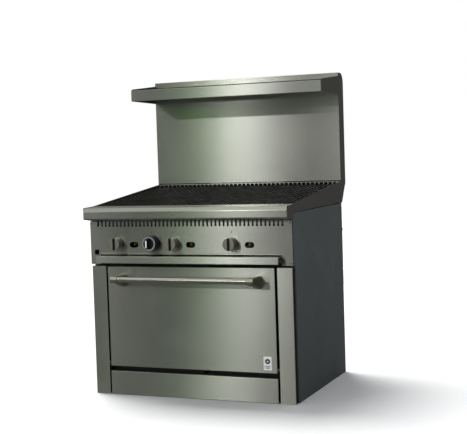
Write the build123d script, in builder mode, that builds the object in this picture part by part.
"""Gas charbroiler range: a radiant broiler top on an oven base, with a riser and a high shelf.

Millimetres, +Z up, +X to the right of a person facing the controls, +Y to the rear.
The origin is on the floor, below the middle of the whole range. Depths are measured rearwards from
the front plane, in which the stiles and the valve panel lie.
"""

from build123d import *
from math import atan2, cos, degrees, radians, sin, tan
import os

os.makedirs("parts", exist_ok=True)

# ---------------------------------------------------------------- driving dimensions
WIDTH = 900.0
HEIGHT = 1345.0
FRONT = -338.0  # y of the plane that the stiles and the valve panel lie in
BODY_DEPTH = 700.0  # front plane to back panel
RISER_DEPTH = 76.0  # riser box, behind the back panel
SHEET = 1.5
GAP = 0.5  # between sheets that only lie beside each other
RUNNING = 0.05  # radial clearance of a pin or a stem in its bore
CUT = 5.0  # how far a cut reaches past the sheet it goes through

SIDE_FRONT = 33.0  # front edge of the side panels, behind the front plane
SIDE_TOP = 762.0
SHOULDER_FRONT = 11.0  # front edge of the side panels above the stiles
SHOULDER_Z = (553.0, 737.0)
FLANGE = 8.5

STILE_INNER = 381.0
STILE_OUTER = 446.0
STILE_TOP = 545.0

DOOR_HALF = 372.0
DOOR_BOTTOM = 121.5
DOOR_TOP = 544.0
DOOR_FACE = -3.0
DOOR_BACK = 42.0
HINGE_DEPTH = 20.0
HINGE_Z = 132.0
PIN_R = 6.0

FRAME_DEPTH = 46.5  # front face of the oven's front frame
OVEN_HALF = 330.0
OVEN_BOTTOM = 160.0
OVEN_TOP = 515.0
OVEN_DEPTH = 560.0
INSULATION = 24.0
RACK_LEVELS = (235.0, 300.0, 365.0, 430.0)
RACKS_AT = (235.0, 365.0)

HANDLE_DEPTH = -85.0
HANDLE_Z = 499.0
HANDLE_R = 12.5
FERRULE_R = 15.0
FERRULE_END = 314.0
FERRULE_LENGTH = 30.0

LEG_PITCH = 128.5  # between neighbouring burner legs
BURNERS = 3
BURNER_PITCH = 2 * LEG_PITCH
BURNER_Z = 690.0
BURNER_R = 18.0
KNOB_Z = 640.0
THERMOSTAT_X = -161.0
THERMOSTAT_Z = 643.0
STEM_R = 4.0
STEM_DEPTH = 13.0  # middle of a knob's stem
STEM_LENGTH = 44.0
STEM_BORE_DEPTH = 28.0  # middle of the bore it turns in
STEM_BORE = 22.0
MANIFOLD_DEPTH = 78.0
MANIFOLD_R = 13.335  # outside of a 3/4 inch pipe
MANIFOLD_BORE = 10.5
GAS_X = 420.0
GAS_HOLE_R = 18.0  # clearance hole of the gas pipe in the back
FLUE_HALF = 61.0  # clearance hole of the oven's flue duct
FLUE_Z = (477.0, 508.0)

VALVE_HALF = 449.5
EAR_BOTTOM = 553.5
SCREW_R = 2.0
PILOT_Z = KNOB_Z - 4.0
TRAY_Z = (566.0, 590.0)
TRAY_HALF = 392.0
PULL_HALF = 403.0
PULL_FRONT = -45.0
PULL_Z = (562.0, 590.0)
LIP_Z = 598.0
EAR_INNER = 404.0

VENTS = 47
VENT_PITCH = 17.85
VENT_WIDTH = 7.8
VENT_BOTTOM = 712.0
PANEL_TOP = 735.0

GRATE_SECTIONS = 6
GRATE_BARS = 7
BAR_PITCH = 20.7
BAR_WIDTH = 11.0
GRATE_FRONT = (40.0, 794.0)  # depth and height of the grates' top surface
GRATE_REAR = (690.0, 852.0)
GRATE_THICK = 20.0
FIREBOX_HALF = 438.0

SHELF_FRONT = 440.0
SHELF_Z = (1253.0, 1302.0)
RISER_BOTTOM = 865.0

HALF = WIDTH / 2
SLOPE = degrees(atan2(GRATE_REAR[1] - GRATE_FRONT[1], GRATE_REAR[0] - GRATE_FRONT[0]))
BURNER_XS = [BURNER_PITCH * (i - (BURNERS - 1) / 2) for i in range(BURNERS)]
KNOB_XS = [x - LEG_PITCH / 2 for x in BURNER_XS]
LEG_XS = [LEG_PITCH * (i - BURNERS + 0.5) for i in range(2 * BURNERS)]
PILOT_HOLE_XS = [x + 12.0 for x in BURNER_XS]
PILOT_XS = [x + 3.0 for x in BURNER_XS]
SCREWS = [(x, z) for x in (-443.0, 443.0) for z in (564.0, 725.0)]
SIDES = {"left": -1, "right": 1}


# ---------------------------------------------------------------- helpers
def y(depth):
    """The y of a point this far behind the front plane."""
    return FRONT + depth


def block(x, depth, z, mode=Mode.ADD):
    """A block in the current part, from ranges of x, of depth behind the front plane, and of z."""
    lows = (min(x), y(min(depth)), min(z))
    highs = (max(x), y(max(depth)), max(z))
    with Locations(tuple((a + b) / 2 for a, b in zip(lows, highs))):
        Box(*(b - a for a, b in zip(lows, highs)), mode=mode)


def rod(axis, at, radius, length, mode=Mode.ADD):
    """A cylinder in the current part along "x", "y" or "z", with its middle at (x, depth, z)."""
    turn = {"x": (0, 90, 0), "y": (90, 0, 0), "z": (0, 0, 0)}[axis]
    with Locations((at[0], y(at[1]), at[2])):
        Cylinder(radius, length, rotation=turn, mode=mode)


def side_plane(x):
    """A plane at this x whose first direction is +Y and second is +Z; its normal is +X."""
    return Plane(origin=(x, FRONT, 0), x_dir=(0, 1, 0), z_dir=(1, 0, 0))


def plate(points, x, thickness):
    """A flat plate across X from a list of (depth, z) corners."""
    with BuildPart() as part:
        with BuildSketch(side_plane(x)):
            with BuildLine():
                Polyline(*points, close=True)
            make_face()
        extrude(amount=thickness)
    return part.part


def both(side, low, high):
    """A range of x on the left (-1) or on the right (1) side."""
    return (side * low, side * high)


def around(depth):
    """A range of depth that cuts through a sheet lying here."""
    return (depth - CUT, depth + CUT)


def outside_start(side):
    """The lower x of a sheet that lies flush with the outside of the range."""
    return HALF - SHEET if side > 0 else -HALF


def front_plane(x, depth, z):
    """A plane facing forwards, whose first direction is +X."""
    return Plane(origin=(x, y(depth), z), x_dir=(1, 0, 0), z_dir=(0, -1, 0))


def save(part, name):
    """Label a finished piece and write it to its own file."""
    part.label = name
    export_step(part, f"parts/{name}.step")


# ---------------------------------------------------------------- body shell
def side_panel(side):
    """Painted side with a flange all round; above the stile it reaches forward to the valve panel."""
    low, high = SHOULDER_Z
    slant = 3.0
    outline = [(SIDE_FRONT, 0), (BODY_DEPTH, 0), (BODY_DEPTH, SIDE_TOP), (SIDE_FRONT, SIDE_TOP),
               (SHOULDER_FRONT + slant, high), (SHOULDER_FRONT, high), (SHOULDER_FRONT, low),
               (SIDE_FRONT, low)]
    flange = both(side, HALF - SHEET - FLANGE, HALF - SHEET)
    screw_flange = both(side, HALF - SHEET - 1.5 * FLANGE, HALF - SHEET)
    with BuildPart() as panel:
        add(plate(outline, outside_start(side), SHEET))
        block(flange, (SIDE_FRONT, BODY_DEPTH), (SIDE_TOP - SHEET, SIDE_TOP))
        block(flange, (SIDE_FRONT, SIDE_FRONT + SHEET), (0, SIDE_TOP))
        block(flange, (BODY_DEPTH - SHEET, BODY_DEPTH), (0, SIDE_TOP))
        block(screw_flange, (SHOULDER_FRONT, SHOULDER_FRONT + SHEET), SHOULDER_Z)
        for x, z in SCREWS:
            rod("y", (x, SHOULDER_FRONT, z), SCREW_R + RUNNING, 2 * CUT, Mode.SUBTRACT)
    return panel.part


def base_pan():
    """Floor of the body, with a plate for a leg near each corner and an anchor for each door spring."""
    pad_x, pad_depths, pad, pad_top = 388.0, (96.0, 640.0), 100.0, 5.0
    leg_bolt_r, leg_bolt_pitch = 4.5, 60.0
    spring_x, anchor_half, anchor_depth, anchor_top = 363.0, 10.0, (410.0, 412.0), 116.0
    front = SIDE_FRONT + 2 * SHEET
    with BuildPart() as pan:
        block((SHEET - HALF, HALF - SHEET), (front, BODY_DEPTH - SHEET), (0, SHEET))
        for side in SIDES.values():
            x = side * pad_x
            for depth in pad_depths:
                block((x - pad / 2, x + pad / 2), (depth - pad / 2, depth + pad / 2), (SHEET, pad_top))
                with Locations((x, y(depth), pad_top / 2)):
                    with GridLocations(leg_bolt_pitch, leg_bolt_pitch, 2, 2):
                        Cylinder(leg_bolt_r, 2 * pad_top, mode=Mode.SUBTRACT)
            anchor = both(side, spring_x - anchor_half, spring_x + anchor_half)
            block(anchor, anchor_depth, (SHEET, anchor_top))
    return pan.part


def back_panel():
    """Galvanised back with two rows of vents, and holes for the gas pipe and the oven's flue."""
    columns, rows, column_pitch, row_pitch = 10, 2, 70.0, 120.0
    vent, vent_height, top = 40.0, 12.0, 861.0
    with BuildPart() as panel:
        block((-HALF, HALF), (BODY_DEPTH, BODY_DEPTH + SHEET), (0, top))
        rod("y", (GAS_X, BODY_DEPTH, KNOB_Z), GAS_HOLE_R, 2 * CUT, Mode.SUBTRACT)
        block((-FLUE_HALF, FLUE_HALF), around(BODY_DEPTH), FLUE_Z, Mode.SUBTRACT)
        for row in range(rows):
            low = row_pitch * (row + 1)
            for column in range(columns):
                x = column_pitch * (column - (columns - 1) / 2)
                block((x - vent / 2, x + vent / 2), around(BODY_DEPTH), (low, low + vent_height), Mode.SUBTRACT)
    return panel.part


def frame_post(side):
    """The dark channel at a front corner, with the bearing of the door's hinge pin."""
    inner, outer = STILE_INNER + SHEET, STILE_OUTER - SHEET - GAP
    top = STILE_TOP - SHEET
    bearing, bearing_half, bearing_front = 8.0, 18.0, 8.0
    rear = SIDE_FRONT - SHEET
    with BuildPart() as post:
        block(both(side, outer - SHEET, outer), (SHEET, SIDE_FRONT), (0, top))
        block(both(side, inner, inner + SHEET), (SHEET, SIDE_FRONT), (0, top))
        block(both(side, inner, outer), (rear, SIDE_FRONT), (0, top))
        block(both(side, inner, inner + bearing), (bearing_front, rear),
              (HINGE_Z - bearing_half, HINGE_Z + bearing_half))
        rod("x", (side * inner, HINGE_DEPTH, HINGE_Z), PIN_R + RUNNING, 4 * bearing, Mode.SUBTRACT)
    return post.part


def stile(side):
    """The stainless cover of a front corner post."""
    inner_return, outer_return, cap_rear, bend_r = 12.0, 5.0, 31.0, 1.2
    with BuildPart() as cover:
        block(both(side, STILE_INNER, STILE_OUTER), (0, SHEET), (0, STILE_TOP))
        block(both(side, STILE_INNER, STILE_INNER + SHEET), (SHEET, inner_return), (0, STILE_TOP))
        block(both(side, STILE_OUTER - SHEET, STILE_OUTER), (SHEET, outer_return), (0, STILE_TOP))
        block(both(side, STILE_INNER, STILE_OUTER), (SHEET, cap_rear), (STILE_TOP - SHEET, STILE_TOP))
        front_edges = cover.edges().filter_by(Axis.Z).group_by(Axis.Y)[0]
        fillet(front_edges, bend_r)
    return cover.part


def kick_panel():
    """Stainless toe panel below the door, with a foot that lies on the base pan."""
    half, top, face, rear, bend_r = 373.0, 100.0, -2.0, 20.0, 1.4
    foot_half, foot_rear = 330.0, 60.0
    inside = face + SHEET
    with BuildPart() as panel:
        block((-half, half), (face, inside), (SHEET, top))
        block((-half, half), (inside, rear), (top - SHEET, top))
        for side in SIDES.values():
            block(both(side, half - SHEET, half), (inside, rear), (SHEET, top))
        block((-foot_half, foot_half), (inside, foot_rear), (SHEET, 2 * SHEET))
        fillet(panel.edges().filter_by(Axis.X).group_by(Axis.Y)[0].sort_by(Axis.Z)[-1:], bend_r)
    return panel.part


# ---------------------------------------------------------------- oven
def oven_front_frame():
    """Black frame round the oven's mouth, with slots for the quadrant arms and a lighting hole."""
    low, high = 60.0, 563.0
    slot_x, slot_z = (357.0, 369.0), (209.0, 227.0)
    hole_x, hole_z, hole_r = 54.0, 98.0, 20.0
    with BuildPart() as frame:
        block((SHEET - HALF, HALF - SHEET), (FRAME_DEPTH, FRAME_DEPTH + SHEET), (low, high))
        block((-OVEN_HALF, OVEN_HALF), around(FRAME_DEPTH), (OVEN_BOTTOM, OVEN_TOP), Mode.SUBTRACT)
        for side in SIDES.values():
            block(both(side, *slot_x), around(FRAME_DEPTH), slot_z, Mode.SUBTRACT)
        rod("y", (hole_x, FRAME_DEPTH, hole_z), hole_r, 2 * CUT, Mode.SUBTRACT)
    return frame.part


def oven_liner():
    """Enamelled oven cavity, with a flue opening at the back and two heat slots in the floor."""
    front = FRAME_DEPTH + SHEET
    back = front + OVEN_DEPTH
    outer = OVEN_HALF + SHEET
    heat_x, heat_depth = (280.0, 315.0), (150.0, 500.0)
    flue_half, flue_z = FLUE_HALF - 3.0, (480.0, 505.0)
    with BuildPart() as liner:
        block((-outer, outer), (front, back + SHEET), (OVEN_BOTTOM - SHEET, OVEN_TOP + SHEET))
        block((-OVEN_HALF, OVEN_HALF), (front - CUT, back), (OVEN_BOTTOM, OVEN_TOP), Mode.SUBTRACT)
        block((-flue_half, flue_half), around(back), flue_z, Mode.SUBTRACT)
        for side in SIDES.values():
            block(both(side, *heat_x), heat_depth, around(OVEN_BOTTOM), Mode.SUBTRACT)
    return liner.part


def oven_insulation():
    """Mineral wool over the oven's sides, top and back."""
    front = FRAME_DEPTH + SHEET
    back = front + OVEN_DEPTH + SHEET
    inner, top = OVEN_HALF + SHEET, OVEN_TOP + SHEET
    outer = inner + INSULATION
    with BuildPart() as wool:
        block((-outer, outer), (front, back + INSULATION), (OVEN_BOTTOM - SHEET, top + INSULATION))
        block((-inner, inner), (front - CUT, back), (OVEN_BOTTOM - CUT, top), Mode.SUBTRACT)
        block((-FLUE_HALF, FLUE_HALF), (back - CUT, back + INSULATION + CUT), FLUE_Z, Mode.SUBTRACT)
    return wool.part


def oven_floor_plate():
    """Lift-out deck over the oven's floor, with a row of heat slots along each side."""
    half, front, back, top = 325.0, 60.0, 600.0, 169.5
    slots, first, pitch, slot_x, slot_width = 9, 120.0, 50.0, (250.0, 300.0), 10.0
    inside = half - SHEET
    with BuildPart() as deck:
        block((-half, half), (front, back), (OVEN_BOTTOM, top))
        block((-inside, inside), (front + SHEET, back - SHEET), (OVEN_BOTTOM - CUT, top - SHEET),
              Mode.SUBTRACT)
        for side in SIDES.values():
            for i in range(slots):
                depth = first + pitch * i
                block(both(side, *slot_x), (depth, depth + slot_width), around(top), Mode.SUBTRACT)
    return deck.part


def rack_guides():
    """Pressed steel ladders on the oven's side walls, with a ledge for a rack at each level."""
    sheet_depth, sheet_z = (70.0, 600.0), (175.0, 505.0)
    windows, first, pitch, window, window_z = 4, 100.0, 125.0, 90.0, (185.0, 225.0)
    ledge_inner, ledge_depth, ledge = 316.0, (75.0, 595.0), 2.0
    wall = OVEN_HALF - SHEET
    with BuildPart() as guides:
        for side in SIDES.values():
            block(both(side, wall, OVEN_HALF), sheet_depth, sheet_z)
            for i in range(windows):
                depth = first + pitch * i
                block(both(side, wall - CUT, wall + CUT), (depth, depth + window), window_z, Mode.SUBTRACT)
            for level in RACK_LEVELS:
                block(both(side, ledge_inner, wall), ledge_depth, (level - ledge, level))
    return guides.part


def oven_rack(level):
    """A wire shelf: a heavy rim, two heavy cross wires and light wires front to back."""
    rim_r, cross_r, wire_r = 4.0, 3.0, 2.0
    half, front, back, inset = 320.0, 75.0, 585.0, 170.0
    wires, lift = 23, 0.3
    rim_z = level + rim_r + lift
    wire_z = rim_z + 3.0
    middle, length = (front + back) / 2, back - front
    with BuildPart() as rack:
        for side in SIDES.values():
            rod("y", (side * half, middle, rim_z), rim_r, length)
        for depth in (front, back):
            rod("x", (0, depth, rim_z), rim_r, 2 * half)
            for side in SIDES.values():
                with Locations((side * half, y(depth), rim_z)):
                    Sphere(rim_r)
        for depth in (front + inset, back - inset):
            rod("x", (0, depth, rim_z - 1.0), cross_r, 2 * half)
        for i in range(wires):
            x = (2 * half / (wires + 1)) * (i - (wires - 1) / 2)
            rod("y", (x, middle, wire_z), wire_r, length)
    return rack.part


def oven_burner():
    """Straight tube burner under the oven floor, with a bell mouth and two rows of ports."""
    radius, bore, front, back, centre = 17.0, 14.5, 75.0, 560.0, 95.0
    mouth_rim, mouth_length, cap = 6.0, 12.0, 4.0
    foot_half, foot, foot_inset = 12.0, 4.0, 30.0
    ports, first_port, port_pitch, port_rise, port_r = 14, 170.0, 26.0, 6.0, 2.0
    middle, length = (front + back) / 2, back - front
    foot_z = (SHEET, centre - bore - 1)
    with BuildPart() as burner:
        rod("y", (0, middle, centre), radius, length)
        rod("y", (0, front + mouth_length / 2, centre), radius + mouth_rim, mouth_length)
        rod("y", (0, middle - cap, centre), bore, length, Mode.SUBTRACT)
        block((-foot_half, foot_half), (back - foot_inset, back - foot_inset + foot), foot_z)
        block((-foot_half, foot_half), (front + foot_inset, front + foot_inset + foot), foot_z)
        for i in range(ports):
            depth = first_port + port_pitch * i
            rod("x", (0, depth, centre + port_rise), port_r, 4 * radius, Mode.SUBTRACT)
    return burner.part


# ---------------------------------------------------------------- door
def door_outer_panel():
    """Stainless outer skin, folded back on all sides, with air slots along its top."""
    rear, bend_r = 40.5, 1.4
    slot_half, slot_depth = 16.0, (14.0, 22.0)
    inside = DOOR_FACE + SHEET
    with BuildPart() as panel:
        block((-DOOR_HALF, DOOR_HALF), (DOOR_FACE, inside), (DOOR_BOTTOM, DOOR_TOP))
        for side in SIDES.values():
            block(both(side, DOOR_HALF - SHEET, DOOR_HALF), (inside, rear), (DOOR_BOTTOM, DOOR_TOP))
        block((-DOOR_HALF, DOOR_HALF), (inside, rear), (DOOR_TOP - SHEET, DOOR_TOP))
        block((-DOOR_HALF, DOOR_HALF), (inside, rear), (DOOR_BOTTOM, DOOR_BOTTOM + SHEET))
        fillet(panel.faces().sort_by(Axis.Y)[0].edges(), bend_r)
        for x in LEG_XS:
            block((x - slot_half, x + slot_half), slot_depth, around(DOOR_TOP), Mode.SUBTRACT)
        for side in SIDES.values():
            rod("x", (side * DOOR_HALF, HINGE_DEPTH, HINGE_Z), PIN_R + RUNNING, 2 * CUT, Mode.SUBTRACT)
    return panel.part


def door_inner_panel():
    """Enamelled sheet that closes the back of the door."""
    corner = 3.0
    with BuildPart() as panel:
        block((-DOOR_HALF, DOOR_HALF), (DOOR_BACK - SHEET, DOOR_BACK), (DOOR_BOTTOM, DOOR_TOP))
        fillet(panel.edges().filter_by(Axis.Y), corner)
    return panel.part


def door_insulation():
    """Mineral wool between the door's skins, cut away round the hinge pins."""
    edge = DOOR_HALF - SHEET - GAP
    top_space, pin_space_x, pin_space_z = 6.0, 340.0, HINGE_Z + 22.0
    low, high = DOOR_BOTTOM + SHEET + GAP, DOOR_TOP - SHEET - top_space
    with BuildPart() as wool:
        block((-edge, edge), (DOOR_FACE + SHEET + GAP, DOOR_BACK - SHEET - GAP), (low, high))
        for side in SIDES.values():
            block(both(side, pin_space_x, DOOR_HALF), (DOOR_FACE, DOOR_BACK), (DOOR_BOTTOM, pin_space_z),
                  Mode.SUBTRACT)
    return wool.part


def handle_bar():
    """Polished tube; its ends lie inside the ferrules."""
    hidden, wall, chamfer_size = 14.0, 2.0, 0.8
    length = 2 * (FERRULE_END - hidden)
    with BuildPart() as bar:
        rod("x", (0, HANDLE_DEPTH, HANDLE_Z), HANDLE_R, length)
        rod("x", (0, HANDLE_DEPTH, HANDLE_Z), HANDLE_R - wall, length + CUT, Mode.SUBTRACT)
        chamfer(bar.edges().filter_by(GeomType.CIRCLE).sort_by(Edge.length)[-2:], chamfer_size)
    return bar.part


def handle_posts():
    """Two die-cast ends: each a ferrule on the bar and a foot that widens to the door."""
    foot_x, foot_z, foot, foot_corner = 303.0, 486.5, (31.0, 53.0), 6.0
    neck, neck_corner = 26.0, 12.0
    bar_stop = 14.0
    middle = FERRULE_END - FERRULE_LENGTH / 2
    with BuildPart() as posts:
        for side in SIDES.values():
            with BuildSketch(front_plane(side * foot_x, DOOR_FACE, foot_z)):
                RectangleRounded(*foot, foot_corner)
            with BuildSketch(front_plane(side * middle, HANDLE_DEPTH, HANDLE_Z)):
                RectangleRounded(neck, neck, neck_corner)
            loft()
            rod("x", (side * middle, HANDLE_DEPTH, HANDLE_Z), FERRULE_R, FERRULE_LENGTH)
            rod("x", (side * (middle - bar_stop), HANDLE_DEPTH, HANDLE_Z), HANDLE_R + RUNNING, FERRULE_LENGTH,
                Mode.SUBTRACT)
    return posts.part


def hinge_arms():
    """Two quadrant arms on the door's inner face, curved about the hinge pins."""
    outer, inner, first, last = 94.0, 86.0, 75.0, -15.0
    arm_x, pad_x, pad_z, pad = (360.5, 365.5), (348.0, 370.0), (204.0, 236.0), 2.0
    with BuildPart() as arms:
        for side in SIDES.values():
            plane = Plane(origin=(side * arm_x[0], y(HINGE_DEPTH), HINGE_Z), x_dir=(0, 1, 0), z_dir=(1, 0, 0))
            with BuildSketch(plane):
                with BuildLine():
                    CenterArc((0, 0), outer, last, first - last)
                    CenterArc((0, 0), inner, last, first - last)
                    for angle in (first, last):
                        near = (inner * cos(radians(angle)), inner * sin(radians(angle)))
                        far = (outer * cos(radians(angle)), outer * sin(radians(angle)))
                        Line(near, far)
                make_face()
            extrude(amount=side * (arm_x[1] - arm_x[0]))
            block(both(side, *pad_x), (DOOR_BACK, DOOR_BACK + pad), pad_z)
    return arms.part


def hinge_pins():
    """Two pins that turn in the corner posts, each with a collar inside the door's skin."""
    pin_x, pin_length = 374.0, 34.0
    collar_x, collar_length, collar_rim = 367.5, 6.0, 2.5
    with BuildPart() as pins:
        for side in SIDES.values():
            rod("x", (side * pin_x, HINGE_DEPTH, HINGE_Z), PIN_R, pin_length)
            rod("x", (side * collar_x, HINGE_DEPTH, HINGE_Z), PIN_R + collar_rim, collar_length)
    return pins.part


def door_springs():
    """Two coil springs from the quadrant arms to the base."""
    coil_r, wire_r, pitch, length, start = 8.0, 1.3, 10.0, 180.0, 130.0
    centre, spring_x = 105.0, 363.0
    with BuildPart() as springs:
        for side in SIDES.values():
            with BuildLine() as coil:
                Helix(pitch=pitch, height=length, radius=coil_r, center=(side * spring_x, y(start), centre),
                      direction=(0, 1, 0))
            with BuildSketch(Plane(origin=coil.line @ 0, z_dir=coil.line % 0)):
                Circle(wire_r)
            sweep(path=coil.line, is_frenet=True)
    return springs.part


# ---------------------------------------------------------------- broiler
def cheek(side):
    """Painted end plate beside the grates, reaching forward over the end of the ledge."""
    lower_corner, upper_corner = 8.0, 4.0
    outline = [(-57, 744.5), (-55, 794), (36, 797.5), (BODY_DEPTH, 861), (BODY_DEPTH, 766), (SIDE_FRONT, 764),
               (SHOULDER_FRONT + 3, 739)]
    with BuildPart() as end_plate:
        add(plate(outline, outside_start(side), SHEET))
        lower, upper = end_plate.edges().filter_by(Axis.X).sort_by(Axis.Y)[:2].sort_by(Axis.Z)
        fillet(lower, lower_corner)
        fillet(upper, upper_corner)
    return end_plate.part


def firebox():
    """Open-bottomed steel box round the burners, with the rests of the burners, radiants and grates."""
    wall, ledge = 2.0, 22.0
    inner = FIREBOX_HALF - wall
    front, rear = 36.0, 694.0
    low, front_low, front_top, rear_top = 655.0, 715.0, 778.0, 836.0
    radiant_rest, grate_rest = 721.0, 771.8
    cradle_depth, cradle_z = (140.0, 148.0), (658.0, BURNER_Z - BURNER_R - 0.3)
    below = 14.0  # the side flanges lie this far below the grates' top surface

    def flange_z(depth):
        return GRATE_FRONT[1] - below + (depth - GRATE_FRONT[0]) * tan(radians(SLOPE))

    with BuildPart() as box:
        for side in SIDES.values():
            with BuildSketch(side_plane(side * inner)):
                with BuildLine():
                    Polyline((front, low), (rear + wall, low), (rear + wall, flange_z(rear + wall)),
                             (front, flange_z(front)), close=True)
                make_face()
            extrude(amount=side * wall)
            with BuildSketch(side_plane(side * FIREBOX_HALF)):
                with BuildLine():
                    Polyline((front, flange_z(front) - wall), (rear + wall, flange_z(rear + wall) - wall),
                             (rear + wall, flange_z(rear + wall)), (front, flange_z(front)), close=True)
                make_face()
            extrude(amount=side * (HALF - SHEET - FIREBOX_HALF))
        block((-inner, inner), (front, front + wall), (front_low, front_top))
        block((-inner, inner), (rear, rear + wall), (low, rear_top))
        block((-inner, inner), (front + wall, front + wall + ledge), (radiant_rest, radiant_rest + wall))
        block((-inner, inner), (rear - ledge, rear), (radiant_rest, radiant_rest + wall))
        block((-inner, inner), (front + wall, front + wall + ledge + wall), (grate_rest, grate_rest + wall))
        block((-inner, inner), cradle_depth, cradle_z)
    return box.part


def rear_grate_rest():
    """Bright angle along the back of the firebox, on which the grates' rear ends lie."""
    inner = FIREBOX_HALF - 2.0
    shelf_depth, shelf_z, shelf = (672.0, 692.0), 828.0, 1.8
    upright_depth, upright_z = (692.0, 694.0), (810.0, 860.0)
    with BuildPart() as rest:
        block((-inner, inner), shelf_depth, (shelf_z, shelf_z + shelf))
        block((-inner, inner), upright_depth, upright_z)
    return rest.part


def broiler_burner(centre):
    """Two-leg tube burner; gas enters the left leg's open mouth."""
    front, turn, cap_depth, wall = 104.0, 590.0, 130.0, 3.0
    ports, first_port, port_pitch, port_length, port_half, port_low = 12, 190.0, 34.0, 18.0, 1.5, 5.0
    tab_half, tab_rear, tab_thick, cap = 10.0, 694.0, 4.0, 4.0
    reach = LEG_PITCH / 2
    left, right = centre - reach, centre + reach
    with BuildPart() as burner:
        with BuildLine() as path:
            Line((left, y(front), BURNER_Z), (left, y(turn), BURNER_Z))
            ThreePointArc((left, y(turn), BURNER_Z), (centre, y(turn + reach), BURNER_Z),
                          (right, y(turn), BURNER_Z))
            Line((right, y(turn), BURNER_Z), (right, y(cap_depth), BURNER_Z))
        with BuildSketch(Plane(origin=(left, y(front), BURNER_Z), x_dir=(1, 0, 0), z_dir=(0, 1, 0))):
            Circle(BURNER_R)
            Circle(BURNER_R - wall, mode=Mode.SUBTRACT)
        sweep(path=path.line)
        rod("y", (right, cap_depth - cap / 2, BURNER_Z), BURNER_R, cap)
        block((centre - tab_half, centre + tab_half), (turn + reach + BURNER_R - wall, tab_rear),
              (BURNER_Z - tab_thick, BURNER_Z + tab_thick))
        for x in (left, right):
            for i in range(ports):
                depth = first_port + port_pitch * i
                block((x - port_half, x + port_half), (depth, depth + port_length),
                      (BURNER_Z + port_low, BURNER_Z + 2 * BURNER_R), Mode.SUBTRACT)
    return burner.part


def radiants():
    """One folded steel radiant above each burner leg."""
    reach, base, peak, thick, foot = 52.0, 723.3, 764.0, 2.0, 4.0
    front, back = 42.0, 690.0
    with BuildPart() as folds:
        for x in LEG_XS:
            with BuildSketch(front_plane(x, front, 0)):
                with BuildLine():
                    Polyline((-reach, base), (0, peak), (reach, base), (reach - foot, base),
                             (0, peak - 2 * thick), (foot - reach, base), close=True)
                make_face()
            extrude(amount=front - back)
    return folds.part


def grate(index):
    """One cast-iron section: bars front to back, tapered downwards, on four cross ribs."""
    x = GRATE_BARS * BAR_PITCH * (index - (GRATE_SECTIONS - 1) / 2)
    width = (GRATE_BARS - 1) * BAR_PITCH + BAR_WIDTH - 3.0
    run = (GRATE_REAR[0] - GRATE_FRONT[0]) / cos(radians(SLOPE)) - 3.0
    rib_drop, ribs, rib_width, rib_margin = 7.0, 4, 14.0, 30.0
    draft, tooth, tooth_sunk = 6.0, 7.0, 2.0
    along = Vector(0, cos(radians(SLOPE)), sin(radians(SLOPE)))
    normal = Vector(0, -sin(radians(SLOPE)), cos(radians(SLOPE)))
    start = Vector(x, y(GRATE_FRONT[0]) + 2.0, GRATE_FRONT[1])
    top = Plane(origin=start + along * (run / 2), x_dir=(1, 0, 0), z_dir=normal)
    with BuildPart() as section:
        with BuildSketch(top):
            with GridLocations(BAR_PITCH, run, GRATE_BARS, 1):
                Rectangle(BAR_WIDTH, run)
        extrude(amount=-GRATE_THICK, taper=draft)
        with BuildSketch(top.offset(-rib_drop)):
            with GridLocations(0, (run - 2 * rib_margin) / (ribs - 1), 1, ribs):
                Rectangle(width, rib_width)
        extrude(amount=rib_drop - GRATE_THICK + 1)
        with BuildSketch(top.offset(-tooth_sunk)):
            with Locations((0, run / 2 - tooth / 2)):
                with GridLocations(BAR_PITCH, 1, GRATE_BARS, 1):
                    Rectangle(BAR_WIDTH - 1, tooth)
        extrude(amount=tooth_sunk + tooth)
    return section.part


# ---------------------------------------------------------------- front of the broiler
def front_ledge():
    """Rounded hollow ledge across the front of the grates."""
    rear, top, web = 32.5, 797.0, 3.5
    corners = [(rear, top), (-50, 792.5), (-57, 778), (-56.5, 746.5), (0, 737.5), (rear, 740)]
    radii = [1.0, 4.0, 8.0, 5.0, 8.0, 1.0]
    half = HALF - SHEET - 0.1
    with BuildPart() as ledge:
        with BuildSketch(side_plane(-half)):
            with BuildLine():
                FilletPolyline(*corners, radius=radii, close=True)
            make_face()
            offset(amount=-SHEET, mode=Mode.SUBTRACT)
        extrude(amount=2 * half)
        block((-half, half), (rear - SHEET, rear + web), (top - SHEET - 0.2, top - 0.2))
    return ledge.part


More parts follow.
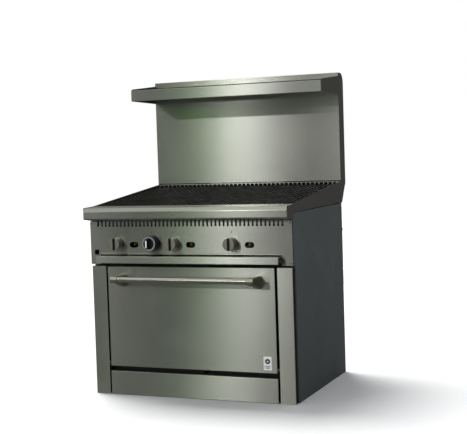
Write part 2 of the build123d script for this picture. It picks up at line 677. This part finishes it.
def valve_panel():
    """Stainless panel behind the knobs: a comb of vents, three viewing holes, and an ear at each end."""
    hole_r, pilot_hole = 7.0, (40.0, 24.0)
    return_outer, return_rear = VALVE_HALF - 2.0, 10.0
    lip_r, lip_depth = 3.2, 0.5
    notch_x, notch_z = (-432.0, -411.0), (594.0, 615.0)
    stem_holes = [(x, KNOB_Z) for x in KNOB_XS] + [(THERMOSTAT_X, THERMOSTAT_Z)]
    with BuildPart() as panel:
        block((-VALVE_HALF, VALVE_HALF), (0, SHEET), (EAR_BOTTOM, PANEL_TOP))
        for side in SIDES.values():
            block(both(side, return_outer - SHEET, return_outer), (SHEET, return_rear),
                  (EAR_BOTTOM, PANEL_TOP))
        block((-EAR_INNER, EAR_INNER), around(0), (EAR_BOTTOM - CUT, LIP_Z - lip_r + GAP), Mode.SUBTRACT)
        rod("x", (0, lip_depth, LIP_Z), lip_r, 2 * EAR_INNER)
        block(notch_x, around(0), notch_z, Mode.SUBTRACT)
        for i in range(VENTS):
            x = VENT_PITCH * (i - (VENTS - 1) / 2)
            vent = (x - VENT_WIDTH / 2, x + VENT_WIDTH / 2)
            block(vent, around(0), (VENT_BOTTOM, PANEL_TOP + CUT), Mode.SUBTRACT)
        for x, z in stem_holes:
            rod("y", (x, 0, z), hole_r, 2 * CUT, Mode.SUBTRACT)
        with BuildSketch(front_plane(0, -CUT, PILOT_Z)):
            with Locations(*((x, 0) for x in PILOT_HOLE_XS)):
                SlotOverall(*pilot_hole)
        extrude(amount=-2 * CUT, mode=Mode.SUBTRACT)
        for x, z in SCREWS:
            rod("y", (x, 0, z), SCREW_R + RUNNING, 2 * CUT, Mode.SUBTRACT)
    return panel.part


def panel_screws():
    """Four screws that hold the valve panel to the side panels' front flanges."""
    head_r, head, length = 4.2, 2.2, 18.0
    with BuildPart() as screws:
        for x, z in SCREWS:
            rod("y", (x, -head / 2, z), head_r, head)
            rod("y", (x, (length - head) / 2, z), SCREW_R, length - head)
    return screws.part


def drip_tray():
    """Shallow folded tray under the whole broiler."""
    front, back = 2.0, 640.0
    inside = TRAY_HALF - SHEET
    low, high = TRAY_Z
    with BuildPart() as tray:
        block((-TRAY_HALF, TRAY_HALF), (front, back), TRAY_Z)
        block((-inside, inside), (front + SHEET, back - SHEET), (low + SHEET, high + CUT), Mode.SUBTRACT)
    return tray.part


def drip_tray_pull():
    """Folded channel across the tray's front, open downwards for the fingers."""
    low, high = PULL_Z
    face, back, hem, bend_r = PULL_FRONT + SHEET, 2.0, 9.0, 1.4
    with BuildPart() as pull:
        block((-PULL_HALF, PULL_HALF), (PULL_FRONT, face), (low, high))
        block((-PULL_HALF, PULL_HALF), (face, back), (high - SHEET, high))
        block((-PULL_HALF, PULL_HALF), (face, PULL_FRONT + hem), (low, low + SHEET))
        block((-PULL_HALF, PULL_HALF), (back - SHEET, back), (TRAY_Z[0], high - SHEET))
        fillet(pull.edges().filter_by(Axis.X).group_by(Axis.Y)[0], bend_r)
    return pull.part


def tray_runners():
    """An angle on each side that carries the tray."""
    wall, foot, clearance, foot_reach = 2.0, 2.0, 6.0, 12.0
    wall_z, foot_top = (545.0, 590.0), 565.5
    run = (FRAME_DEPTH + SHEET, BODY_DEPTH)
    with BuildPart() as runners:
        for side in SIDES.values():
            wall_inner = TRAY_HALF + clearance
            block(both(side, wall_inner, wall_inner + wall), run, wall_z)
            block(both(side, TRAY_HALF - foot_reach, wall_inner), run, (foot_top - foot, foot_top))
    return runners.part


# ---------------------------------------------------------------- gas
def gas_manifold():
    """Pipe across the front, then along the right side and out of the back as the gas inlet."""
    left_end, rear_end, bend = -400.0, BODY_DEPTH + 70.0, 30.0
    cap_rim, cap_length = 3.0, 10.0
    locknut_r, locknut_depth, locknut = 19.0, BODY_DEPTH + 28.0, 4.0
    valve_bore, pilot_bore, wall_depth = 8.0, 5.0, MANIFOLD_DEPTH - MANIFOLD_BORE
    start = (left_end, y(MANIFOLD_DEPTH), KNOB_Z)
    corner = (GAS_X, y(MANIFOLD_DEPTH), KNOB_Z)
    with BuildPart() as pipe:
        with BuildLine() as path:
            FilletPolyline(start, corner, (GAS_X, y(rear_end), KNOB_Z), radius=bend)
        with BuildSketch(Plane(origin=start, x_dir=(0, 1, 0), z_dir=(1, 0, 0))):
            Circle(MANIFOLD_R)
            Circle(MANIFOLD_BORE, mode=Mode.SUBTRACT)
        sweep(path=path.line)
        rod("x", (left_end - cap_length / 2, MANIFOLD_DEPTH, KNOB_Z), MANIFOLD_R + cap_rim, cap_length)
        rod("y", (GAS_X, locknut_depth, KNOB_Z), locknut_r, locknut)
        rod("y", (GAS_X, locknut_depth, KNOB_Z), MANIFOLD_BORE, 2 * locknut, Mode.SUBTRACT)
        for x in KNOB_XS + [THERMOSTAT_X]:
            rod("y", (x, wall_depth, KNOB_Z), valve_bore, 2 * MANIFOLD_BORE, Mode.SUBTRACT)
        for x in PILOT_XS:
            rod("y", (x, wall_depth, PILOT_Z), pilot_bore, 2 * MANIFOLD_BORE, Mode.SUBTRACT)
    return pipe.part


def burner_valves():
    """Brass valves screwed into the manifold, each with an orifice spud at its burner's mouth."""
    half, front, back, below, above = 12.0, 30.0, 58.0, 15.0, 8.0
    bonnet_r, bonnet, shank_r, shank = 9.0, 8.0, 7.9, 12.0
    spud_r, spud_front, spud_length = 6.0, 57.0, 46.0
    with BuildPart() as valves:
        for x in KNOB_XS:
            block((x - half, x + half), (front, back), (KNOB_Z - below, BURNER_Z + above))
            rod("y", (x, front - bonnet / 2 + 1, KNOB_Z), bonnet_r, bonnet)
            rod("y", (x, back + shank / 2, KNOB_Z), shank_r, shank)
            rod("y", (x, spud_front + spud_length / 2, BURNER_Z), spud_r, spud_length)
            rod("y", (x, STEM_BORE_DEPTH, KNOB_Z), STEM_R + RUNNING, STEM_BORE, Mode.SUBTRACT)
    return valves.part


def thermostat_body():
    """Brass body of the oven's thermostat, screwed into the manifold."""
    half, front, back, low, high, corner = 24.0, 25.0, 58.0, 612.0, 664.0, 6.0
    shank_r, shank = 7.9, 12.0
    with BuildPart() as body:
        block((THERMOSTAT_X - half, THERMOSTAT_X + half), (front, back), (low, high))
        rod("y", (THERMOSTAT_X, back + shank / 2, KNOB_Z), shank_r, shank)
        rod("y", (THERMOSTAT_X, STEM_BORE_DEPTH, THERMOSTAT_Z), STEM_R + RUNNING, STEM_BORE, Mode.SUBTRACT)
        fillet(body.edges().filter_by(Axis.Y).group_by(Axis.Z)[-1], corner)
    return body.part


def pilot_valves():
    """Brass adjusting valves seen through the viewing holes, one beside each burner valve."""
    body_r, body, body_depth = 7.0, 26.0, 47.0
    tip_r, tip, shank_r, shank = 4.5, 12.0, 4.9, 12.0
    slot_half, slot_deep = 0.8, 2.5
    front, back = body_depth - body / 2, body_depth + body / 2
    with BuildPart() as valves:
        for x in PILOT_XS:
            rod("y", (x, body_depth, PILOT_Z), body_r, body)
            rod("y", (x, front - tip / 2, PILOT_Z), tip_r, tip)
            rod("y", (x, back + shank / 2, PILOT_Z), shank_r, shank)
            block((x - body_r, x + body_r), (front - tip - CUT, front - tip + slot_deep),
                  (PILOT_Z - slot_half, PILOT_Z + slot_half), Mode.SUBTRACT)
    return valves.part


def oven_gas_line():
    """Aluminium tube from the thermostat, round the tray's left end, down to the oven burner."""
    depth, radius, tight, wide = 56.0, 5.0, 8.0, 25.0
    under_thermostat, left, low, burner_z, burner_depth = 603.0, -425.0, 40.0, 95.0, 74.0
    route = [(THERMOSTAT_X, 612.0), (THERMOSTAT_X, under_thermostat), (left, under_thermostat), (left, low),
             (0, low), (0, burner_z)]
    points = [(x, y(depth), z) for x, z in route] + [(0, y(burner_depth), burner_z)]
    with BuildPart() as line:
        with BuildLine() as path:
            FilletPolyline(*points, radius=[tight, wide, wide, wide, tight])
        with BuildSketch(Plane(origin=points[0], x_dir=(1, 0, 0), z_dir=(0, 0, -1))):
            Circle(radius)
        sweep(path=path.line)
    return line.part


# ---------------------------------------------------------------- knobs
def burner_knob(x):
    """Die-cast knob with a finger slot straight across its face; its stem turns in the valve."""
    radius, front_radius, base, face = 27.5, 25.5, -4.0, -38.0
    slot_half, slot_floor = 5.5, -29.0
    rim_round, slot_round = 2.0, 0.8
    with BuildPart() as knob:
        with BuildSketch(front_plane(x, base, KNOB_Z)):
            Circle(radius)
        extrude(amount=base - face, taper=degrees(atan2(radius - front_radius, base - face)))
        fillet(knob.edges().filter_by(GeomType.CIRCLE).group_by(Axis.Y)[0], rim_round)
        block((x - slot_half, x + slot_half), (face - CUT, slot_floor), (KNOB_Z - radius, KNOB_Z + radius),
              Mode.SUBTRACT)
        rims = knob.faces().filter_by(Axis.Y).group_by(Axis.Y)[0].edges().filter_by(Axis.Z)
        fillet(rims, slot_round)
        rod("y", (x, STEM_DEPTH, KNOB_Z), STEM_R, STEM_LENGTH)
    return knob.part


def thermostat_knob():
    """Black moulded knob with a wide skirt and a grip bar."""
    skirt, radius, base, face, grip_front = 35.0, 32.0, -4.0, -36.0, -61.0
    grip, grip_draft, sunk = (46.0, 11.0), 3.0, 4.0
    rim_round, grip_round = 2.0, 1.2
    with BuildPart() as knob:
        with BuildSketch(front_plane(THERMOSTAT_X, base, THERMOSTAT_Z)):
            Circle(skirt)
        extrude(amount=base - face, taper=degrees(atan2(skirt - radius, base - face)))
        fillet(knob.edges().filter_by(GeomType.CIRCLE).group_by(Axis.Y)[0], rim_round)
        with BuildSketch(front_plane(THERMOSTAT_X, face + sunk, THERMOSTAT_Z)):
            SlotOverall(*grip, rotation=90)
        extrude(amount=face + sunk - grip_front, taper=grip_draft)
        rod("y", (THERMOSTAT_X, STEM_DEPTH, THERMOSTAT_Z), STEM_R, STEM_LENGTH)
        fillet(knob.faces().sort_by(Axis.Y)[0].edges(), grip_round)
    return knob.part


# ---------------------------------------------------------------- riser, flue and shelf
def riser_front_panel():
    """Stainless front of the riser, folded back along its top."""
    inner, fold_rear = HALF - SHEET, BODY_DEPTH + 12.0
    with BuildPart() as panel:
        block((-HALF, HALF), (BODY_DEPTH, BODY_DEPTH + SHEET), (RISER_BOTTOM, HEIGHT))
        block((-inner, inner), (BODY_DEPTH + SHEET, fold_rear), (HEIGHT - SHEET, HEIGHT))
    return panel.part


def riser_shell():
    """Painted box behind the riser's front: two sides, and one sheet down the back and under."""
    front, back, fold_rear = BODY_DEPTH + SHEET, BODY_DEPTH + RISER_DEPTH, BODY_DEPTH + 12.0
    corner, diagonal = 45.0, cos(radians(45))
    foot_z, foot_depth, knee_z, knee_depth, heel_z = 765.0, 715.0, 827.0, 757.0, 850.0
    outlets, outlet_pitch, outlet_width, outlet_z = 12, 70.0, 56.0, (HEIGHT - 105.0, HEIGHT - 55.0)
    neck_half, neck_rear, neck_top = 181.0, 726.5, 800.0
    inner = HALF - SHEET

    def profile(inset):
        """The box's outline seen from the side, drawn this far inside its outer faces."""
        lean, reach = inset * diagonal, (corner - inset) * diagonal
        with BuildLine() as outline:
            Polyline((back - corner, HEIGHT - inset), (front - inset, HEIGHT - inset),
                     (front - inset, foot_z - inset), (foot_depth - lean, foot_z - inset),
                     (knee_depth - lean, knee_z + lean), (back - inset, heel_z + lean),
                     (back - inset, HEIGHT - corner))
            ThreePointArc((back - inset, HEIGHT - corner), (back - corner + reach, HEIGHT - corner + reach),
                          (back - corner, HEIGHT - inset))
        return outline.edges()

    with BuildPart() as shell:
        with BuildSketch(side_plane(-HALF)):
            make_face(profile(0))
        extrude(amount=WIDTH)
        with BuildSketch(side_plane(-inner)):
            make_face(profile(SHEET))
        extrude(amount=2 * inner, mode=Mode.SUBTRACT)
        block((-inner, inner), (front - CUT, fold_rear), around(HEIGHT), Mode.SUBTRACT)
        block((-neck_half, neck_half), (front - CUT, neck_rear), (foot_z - CUT, neck_top), Mode.SUBTRACT)
        for i in range(outlets):
            x = outlet_pitch * (i - (outlets - 1) / 2)
            block((x - outlet_width / 2, x + outlet_width / 2), around(back), outlet_z, Mode.SUBTRACT)
    return shell.part


def flue_box():
    """Galvanised flat box on the back of the body, fed by the oven's flue, with a neck into the riser."""
    front = BODY_DEPTH + SHEET
    rear, low, high = front + 23.5, 390.0, 745.0
    half, neck, neck_top = 444.0, 180.0, 880.0
    duct, duct_z, duct_start = FLUE_HALF - 1.0, (478.0, 507.0), FRAME_DEPTH + OVEN_DEPTH + 2 * SHEET
    tube_wall, tab_x, tab_zs, tab, tab_front = 1.5, half - 2.0, (461.0, 696.0), 8.0, front + 8.0
    inside = (front + SHEET, rear - SHEET)
    with BuildPart() as box:
        block((-half, half), (front, rear), (low, high))
        block((-neck, neck), (front, rear), (high, neck_top))
        block((-duct, duct), (duct_start, front), duct_z)
        block((SHEET - half, half - SHEET), inside, (low + SHEET, high - SHEET), Mode.SUBTRACT)
        block((SHEET - neck, neck - SHEET), inside, (high - 2 * SHEET, neck_top + CUT), Mode.SUBTRACT)
        block((SHEET - duct, duct - SHEET), (duct_start - CUT, front + CUT),
              (duct_z[0] + SHEET, duct_z[1] - SHEET), Mode.SUBTRACT)
        rod("y", (GAS_X, (front + rear) / 2, KNOB_Z), GAS_HOLE_R + tube_wall, rear - front)
        rod("y", (GAS_X, (front + rear) / 2, KNOB_Z), GAS_HOLE_R, 2 * (rear - front), Mode.SUBTRACT)
        for side in SIDES.values():
            for z in tab_zs:
                block(both(side, tab_x, half + CUT), (tab_front, rear + CUT), (z, z + tab), Mode.SUBTRACT)
    return box.part


def high_shelf():
    """Stainless shelf, folded down and back at its front and up along the riser."""
    low, high = SHELF_Z
    half, hem, upstand, bend_r = HALF - SHEET - 0.1, 15.0, 14.0, 1.4
    with BuildPart() as shelf:
        block((-half, half), (SHELF_FRONT, BODY_DEPTH), (high - SHEET, high))
        block((-half, half), (SHELF_FRONT, SHELF_FRONT + SHEET), (low, high))
        block((-half, half), (SHELF_FRONT, SHELF_FRONT + hem), (low, low + SHEET))
        block((-half, half), (BODY_DEPTH - SHEET, BODY_DEPTH), (high, high + upstand))
        fillet(shelf.edges().filter_by(Axis.X).group_by(Axis.Y)[0], bend_r)
    return shelf.part


def shelf_bracket(side):
    """Painted end bracket of the shelf, with a flange that bolts to the riser."""
    low, high = SHELF_Z
    front_top, rear_top, rear_bottom = high + 5.0, high + 28.0, low - 6.0
    top_corner, bottom_corner, flange_inner = 14.0, 3.0, 430.0
    outline = [(BODY_DEPTH, rear_top), (BODY_DEPTH, rear_bottom), (SHELF_FRONT, low),
               (SHELF_FRONT, front_top)]
    with BuildPart() as bracket:
        add(plate(outline, outside_start(side), SHEET))
        bottom, top = bracket.edges().filter_by(Axis.X).sort_by(Axis.Y)[:2].sort_by(Axis.Z)
        fillet(bottom, bottom_corner)
        fillet(top, top_corner)
        block(both(side, flange_inner, HALF - SHEET), (BODY_DEPTH - SHEET, BODY_DEPTH), (low - 4, high - 4))
    return bracket.part


# ---------------------------------------------------------------- build and write every piece
for side_name, side_sign in SIDES.items():
    save(side_panel(side_sign), f"{side_name}_side_panel")
    save(frame_post(side_sign), f"{side_name}_frame_post")
    save(stile(side_sign), f"{side_name}_stile")
    save(cheek(side_sign), f"{side_name}_cheek")
    save(shelf_bracket(side_sign), f"{side_name}_shelf_bracket")

for number in range(BURNERS):
    save(broiler_burner(BURNER_XS[number]), f"broiler_burner_{number + 1}")
    save(burner_knob(KNOB_XS[number]), f"burner_knob_{number + 1}")

for number in range(GRATE_SECTIONS):
    save(grate(number), f"grate_{number + 1}")

for number, rack_level in enumerate(RACKS_AT, 1):
    save(oven_rack(rack_level), f"oven_rack_{number}")

SINGLE_PIECES = (
    base_pan, back_panel, kick_panel, oven_front_frame, oven_liner, oven_insulation, oven_floor_plate,
    rack_guides, oven_burner, door_outer_panel, door_inner_panel, door_insulation, handle_bar, handle_posts,
    hinge_arms, hinge_pins, door_springs, firebox, rear_grate_rest, radiants, front_ledge, valve_panel,
    panel_screws, drip_tray, drip_tray_pull, tray_runners, gas_manifold, burner_valves, thermostat_body,
    pilot_valves, oven_gas_line, thermostat_knob, riser_front_panel, riser_shell, flue_box, high_shelf,
)
for make_piece in SINGLE_PIECES:
    save(make_piece(), make_piece.__name__)
